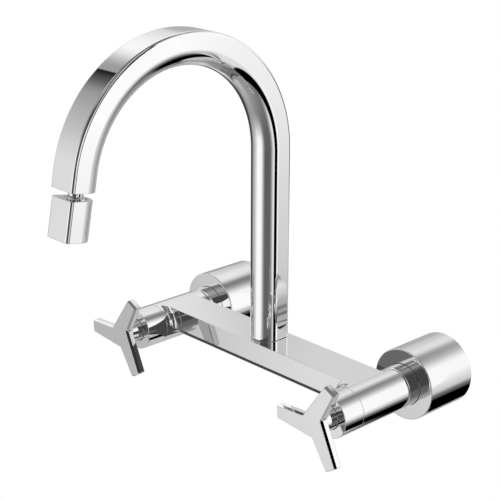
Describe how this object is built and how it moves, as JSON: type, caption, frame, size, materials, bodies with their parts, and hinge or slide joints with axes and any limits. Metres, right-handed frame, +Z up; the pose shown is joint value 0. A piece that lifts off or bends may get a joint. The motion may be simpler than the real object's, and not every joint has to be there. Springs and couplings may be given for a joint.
{
  "type": "wall-mounted bridge kitchen mixer",
  "caption": "Chrome wall-mounted bridge mixer with pinwheel quarter-turn handles, a swivelling gooseneck spout of D-shaped section and a ball-jointed aerator nozzle.",
  "frame": {"origin": "on the finished wall, midway between the two inlet axes", "axes": "+X to the right as one faces the wall, +Y into the wall, +Z up"},
  "size_m": [0.2579, 0.2692, 0.2761],
  "materials": {
    "chrome": "polished plating",
    "brass": "turned",
    "rubber": "moulded",
    "ceramic": "lapped",
    "plastic": "moulded",
    "steel": "turned"
  },
  "bodies": {
    "mixer_body": {"bridge_body": "chrome", "spout_bearing": "plastic", "spout_lock_screw": "steel", "left_wall_connector": "brass", "left_inlet_washer": "rubber", "left_inlet_tail": "brass", "left_union_nut": "chrome", "left_seat_seal": "rubber", "left_fixed_disc": "ceramic", "left_cartridge": "brass", "left_cartridge_o_ring": "rubber", "left_bonnet": "chrome", "right_wall_connector": "brass", "right_inlet_washer": "rubber", "right_inlet_tail": "brass", "right_union_nut": "chrome", "right_seat_seal": "rubber", "right_fixed_disc": "ceramic", "right_cartridge": "brass", "right_cartridge_o_ring": "rubber", "right_bonnet": "chrome"},
    "spout": {"spout_tube": "chrome", "spout_spigot": "brass", "spigot_o_ring": "rubber", "spout_end": "chrome", "ball_stem": "chrome"},
    "ball_lower_seat": {"lower_ball_seat": "plastic"},
    "ball_upper_seat": {"upper_ball_seat": "plastic"},
    "nozzle": {"nozzle_housing": "chrome", "ball_retainer": "brass", "aerator_washer": "rubber", "aerator_screen": "steel", "aerator_insert": "plastic", "aerator_ring": "chrome"},
    "left_valve": {"left_handle": "chrome", "left_grub_screw": "steel", "left_spindle": "brass", "left_spindle_o_ring": "rubber", "left_spindle_clip": "steel", "left_moving_disc": "ceramic"},
    "left_cover": {"left_escutcheon": "chrome", "left_escutcheon_ring": "rubber"},
    "right_valve": {"right_handle": "chrome", "right_grub_screw": "steel", "right_spindle": "brass", "right_spindle_o_ring": "rubber", "right_spindle_clip": "steel", "right_moving_disc": "ceramic"},
    "right_cover": {"right_escutcheon": "chrome", "right_escutcheon_ring": "rubber"}
  },
  "joints": [
    {"name": "spout_swivel", "type": "hinge", "parent": "mixer_body", "child": "spout", "pos_m": [0, -0.0779, 0.0148], "axis": [0, 0, 1], "range_deg": [-105, 105]},
    {"name": "nozzle_nod", "type": "hinge", "parent": "spout", "child": "ball_lower_seat", "pos_m": [0, -0.24144, 0.1493], "axis": [1, 0, 0], "range_deg": [-12, 12]},
    {"name": "nozzle_sway", "type": "hinge", "parent": "ball_lower_seat", "child": "ball_upper_seat", "pos_m": [0, -0.24144, 0.1493], "axis": [0, -0.9816, 0.1908], "range_deg": [-12, 12]},
    {"name": "nozzle_spin", "type": "hinge", "parent": "ball_upper_seat", "child": "nozzle", "pos_m": [0, -0.24144, 0.1493], "axis": [0, -0.1908, -0.9816], "continuous": true},
    {"name": "left_handle_turn", "type": "hinge", "parent": "mixer_body", "child": "left_valve", "pos_m": [-0.1, -0.117, 0], "axis": [0, -1, 0], "range_deg": [0, 90]},
    {"name": "right_handle_turn", "type": "hinge", "parent": "mixer_body", "child": "right_valve", "pos_m": [0.1, -0.117, 0], "axis": [0, -1, 0], "range_deg": [0, 90]},
    {"name": "left_cover_slide", "type": "slide", "parent": "mixer_body", "child": "left_cover", "axis": [0, -1, 0], "range_m": [0, 0.0185]},
    {"name": "right_cover_slide", "type": "slide", "parent": "mixer_body", "child": "right_cover", "axis": [0, -1, 0], "range_m": [0, 0.0185]}
  ]
}
